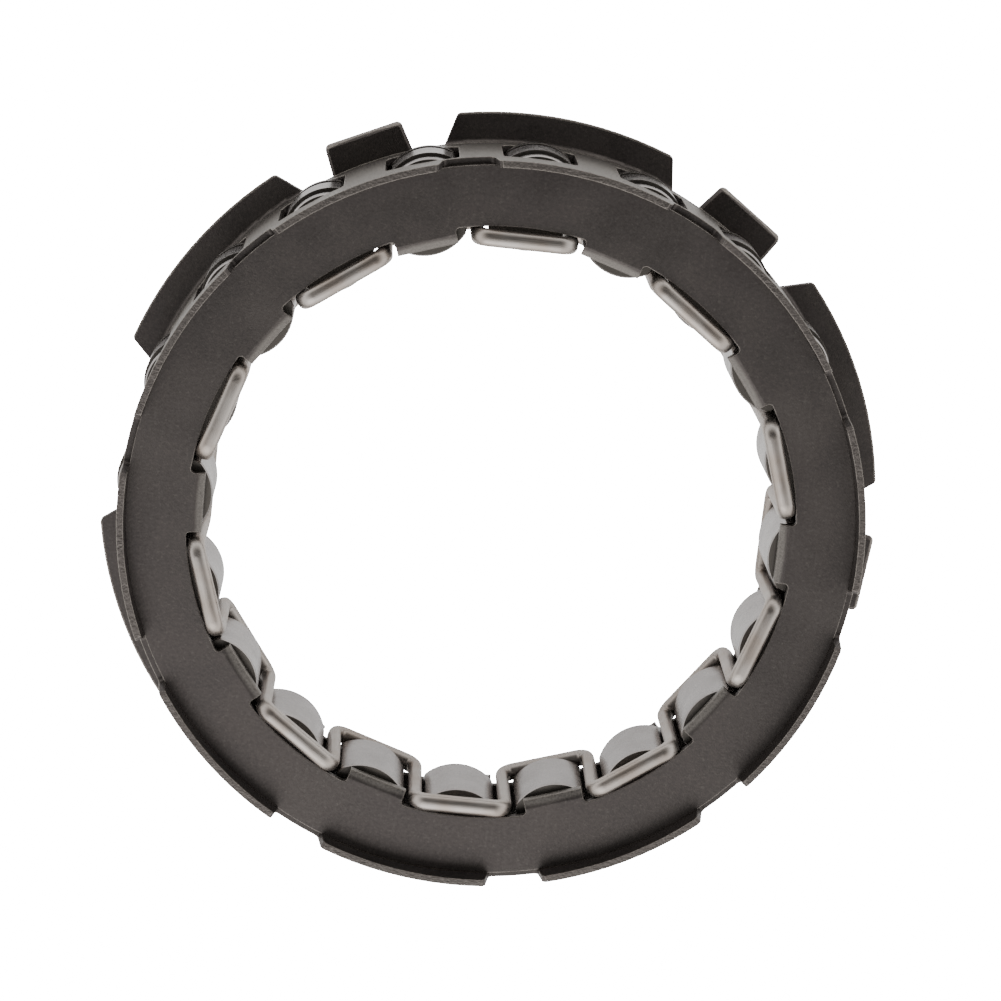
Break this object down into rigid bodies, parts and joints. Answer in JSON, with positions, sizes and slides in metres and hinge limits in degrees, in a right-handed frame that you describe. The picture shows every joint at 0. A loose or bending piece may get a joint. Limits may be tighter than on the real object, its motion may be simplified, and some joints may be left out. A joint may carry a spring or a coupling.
{
  "type": "sprag clutch",
  "caption": "One-way sprag clutch cage with rocking sprags, two side plates, a bent retaining wire and rear drive lugs.",
  "frame": {"origin": "on the clutch axis, in the plane of the rear face of the lugs that the clutch lies on", "axes": "+Z along the clutch axis from the rear lugs to the front plate; -Y through sprag 1; sprags number counter-clockwise about +Z"},
  "size_m": [0.0754, 0.0756, 0.0136],
  "materials": {
    "stamped_steel": "dark phosphated spring steel sheet, satin",
    "spring_wire": "bright drawn spring wire",
    "sprag_steel": "ground and tumbled bearing steel, satin"
  },
  "bodies": {
    "cage": {"outer_cage": "stamped_steel", "front_side_plate": "stamped_steel", "rear_side_plate": "stamped_steel", "retaining_wire": "spring_wire", "front_garter_spring": "spring_wire", "rear_garter_spring": "spring_wire"},
    "sprag_01_body": {"sprag_01": "sprag_steel"},
    "sprag_02_body": {"sprag_02": "sprag_steel"},
    "sprag_03_body": {"sprag_03": "sprag_steel"},
    "sprag_04_body": {"sprag_04": "sprag_steel"},
    "sprag_05_body": {"sprag_05": "sprag_steel"},
    "sprag_06_body": {"sprag_06": "sprag_steel"},
    "sprag_07_body": {"sprag_07": "sprag_steel"},
    "sprag_08_body": {"sprag_08": "sprag_steel"},
    "sprag_09_body": {"sprag_09": "sprag_steel"},
    "sprag_10_body": {"sprag_10": "sprag_steel"},
    "sprag_11_body": {"sprag_11": "sprag_steel"},
    "sprag_12_body": {"sprag_12": "sprag_steel"},
    "sprag_13_body": {"sprag_13": "sprag_steel"},
    "sprag_14_body": {"sprag_14": "sprag_steel"},
    "sprag_15_body": {"sprag_15": "sprag_steel"},
    "sprag_16_body": {"sprag_16": "sprag_steel"},
    "sprag_17_body": {"sprag_17": "sprag_steel"},
    "sprag_18_body": {"sprag_18": "sprag_steel"},
    "sprag_19_body": {"sprag_19": "sprag_steel"},
    "sprag_20_body": {"sprag_20": "sprag_steel"}
  },
  "joints": [
    {"name": "sprag_01_rock", "type": "hinge", "parent": "cage", "child": "sprag_01_body", "pos_m": [0, -0.031, 0.00665], "axis": [0, 0, 1], "range_deg": [-3, 5]},
    {"name": "sprag_02_rock", "type": "hinge", "parent": "cage", "child": "sprag_02_body", "pos_m": [0.00958, -0.02948, 0.00665], "axis": [0, 0, 1], "range_deg": [-3, 5]},
    {"name": "sprag_03_rock", "type": "hinge", "parent": "cage", "child": "sprag_03_body", "pos_m": [0.01822, -0.02508, 0.00665], "axis": [0, 0, 1], "range_deg": [-3, 5]},
    {"name": "sprag_04_rock", "type": "hinge", "parent": "cage", "child": "sprag_04_body", "pos_m": [0.02508, -0.01822, 0.00665], "axis": [0, 0, 1], "range_deg": [-3, 5]},
    {"name": "sprag_05_rock", "type": "hinge", "parent": "cage", "child": "sprag_05_body", "pos_m": [0.02948, -0.00958, 0.00665], "axis": [0, 0, 1], "range_deg": [-3, 5]},
    {"name": "sprag_06_rock", "type": "hinge", "parent": "cage", "child": "sprag_06_body", "pos_m": [0.031, 0, 0.00665], "axis": [0, 0, 1], "range_deg": [-3, 5]},
    {"name": "sprag_07_rock", "type": "hinge", "parent": "cage", "child": "sprag_07_body", "pos_m": [0.02948, 0.00958, 0.00665], "axis": [0, 0, 1], "range_deg": [-3, 5]},
    {"name": "sprag_08_rock", "type": "hinge", "parent": "cage", "child": "sprag_08_body", "pos_m": [0.02508, 0.01822, 0.00665], "axis": [0, 0, 1], "range_deg": [-3, 5]},
    {"name": "sprag_09_rock", "type": "hinge", "parent": "cage", "child": "sprag_09_body", "pos_m": [0.01822, 0.02508, 0.00665], "axis": [0, 0, 1], "range_deg": [-3, 5]},
    {"name": "sprag_10_rock", "type": "hinge", "parent": "cage", "child": "sprag_10_body", "pos_m": [0.00958, 0.02948, 0.00665], "axis": [0, 0, 1], "range_deg": [-3, 5]},
    {"name": "sprag_11_rock", "type": "hinge", "parent": "cage", "child": "sprag_11_body", "pos_m": [0, 0.031, 0.00665], "axis": [0, 0, 1], "range_deg": [-3, 5]},
    {"name": "sprag_12_rock", "type": "hinge", "parent": "cage", "child": "sprag_12_body", "pos_m": [-0.00958, 0.02948, 0.00665], "axis": [0, 0, 1], "range_deg": [-3, 5]},
    {"name": "sprag_13_rock", "type": "hinge", "parent": "cage", "child": "sprag_13_body", "pos_m": [-0.01822, 0.02508, 0.00665], "axis": [0, 0, 1], "range_deg": [-3, 5]},
    {"name": "sprag_14_rock", "type": "hinge", "parent": "cage", "child": "sprag_14_body", "pos_m": [-0.02508, 0.01822, 0.00665], "axis": [0, 0, 1], "range_deg": [-3, 5]},
    {"name": "sprag_15_rock", "type": "hinge", "parent": "cage", "child": "sprag_15_body", "pos_m": [-0.02948, 0.00958, 0.00665], "axis": [0, 0, 1], "range_deg": [-3, 5]},
    {"name": "sprag_16_rock", "type": "hinge", "parent": "cage", "child": "sprag_16_body", "pos_m": [-0.031, 0, 0.00665], "axis": [0, 0, 1], "range_deg": [-3, 5]},
    {"name": "sprag_17_rock", "type": "hinge", "parent": "cage", "child": "sprag_17_body", "pos_m": [-0.02948, -0.00958, 0.00665], "axis": [0, 0, 1], "range_deg": [-3, 5]},
    {"name": "sprag_18_rock", "type": "hinge", "parent": "cage", "child": "sprag_18_body", "pos_m": [-0.02508, -0.01822, 0.00665], "axis": [0, 0, 1], "range_deg": [-3, 5]},
    {"name": "sprag_19_rock", "type": "hinge", "parent": "cage", "child": "sprag_19_body", "pos_m": [-0.01822, -0.02508, 0.00665], "axis": [0, 0, 1], "range_deg": [-3, 5]},
    {"name": "sprag_20_rock", "type": "hinge", "parent": "cage", "child": "sprag_20_body", "pos_m": [-0.00958, -0.02948, 0.00665], "axis": [0, 0, 1], "range_deg": [-3, 5]}
  ],
  "couplings": [
    {"joint": "sprag_02_rock", "follows": "sprag_01_rock", "ratio": 1},
    {"joint": "sprag_03_rock", "follows": "sprag_01_rock", "ratio": 1},
    {"joint": "sprag_04_rock", "follows": "sprag_01_rock", "ratio": 1},
    {"joint": "sprag_05_rock", "follows": "sprag_01_rock", "ratio": 1},
    {"joint": "sprag_06_rock", "follows": "sprag_01_rock", "ratio": 1},
    {"joint": "sprag_07_rock", "follows": "sprag_01_rock", "ratio": 1},
    {"joint": "sprag_08_rock", "follows": "sprag_01_rock", "ratio": 1},
    {"joint": "sprag_09_rock", "follows": "sprag_01_rock", "ratio": 1},
    {"joint": "sprag_10_rock", "follows": "sprag_01_rock", "ratio": 1},
    {"joint": "sprag_11_rock", "follows": "sprag_01_rock", "ratio": 1},
    {"joint": "sprag_12_rock", "follows": "sprag_01_rock", "ratio": 1},
    {"joint": "sprag_13_rock", "follows": "sprag_01_rock", "ratio": 1},
    {"joint": "sprag_14_rock", "follows": "sprag_01_rock", "ratio": 1},
    {"joint": "sprag_15_rock", "follows": "sprag_01_rock", "ratio": 1},
    {"joint": "sprag_16_rock", "follows": "sprag_01_rock", "ratio": 1},
    {"joint": "sprag_17_rock", "follows": "sprag_01_rock", "ratio": 1},
    {"joint": "sprag_18_rock", "follows": "sprag_01_rock", "ratio": 1},
    {"joint": "sprag_19_rock", "follows": "sprag_01_rock", "ratio": 1},
    {"joint": "sprag_20_rock", "follows": "sprag_01_rock", "ratio": 1}
  ]
}
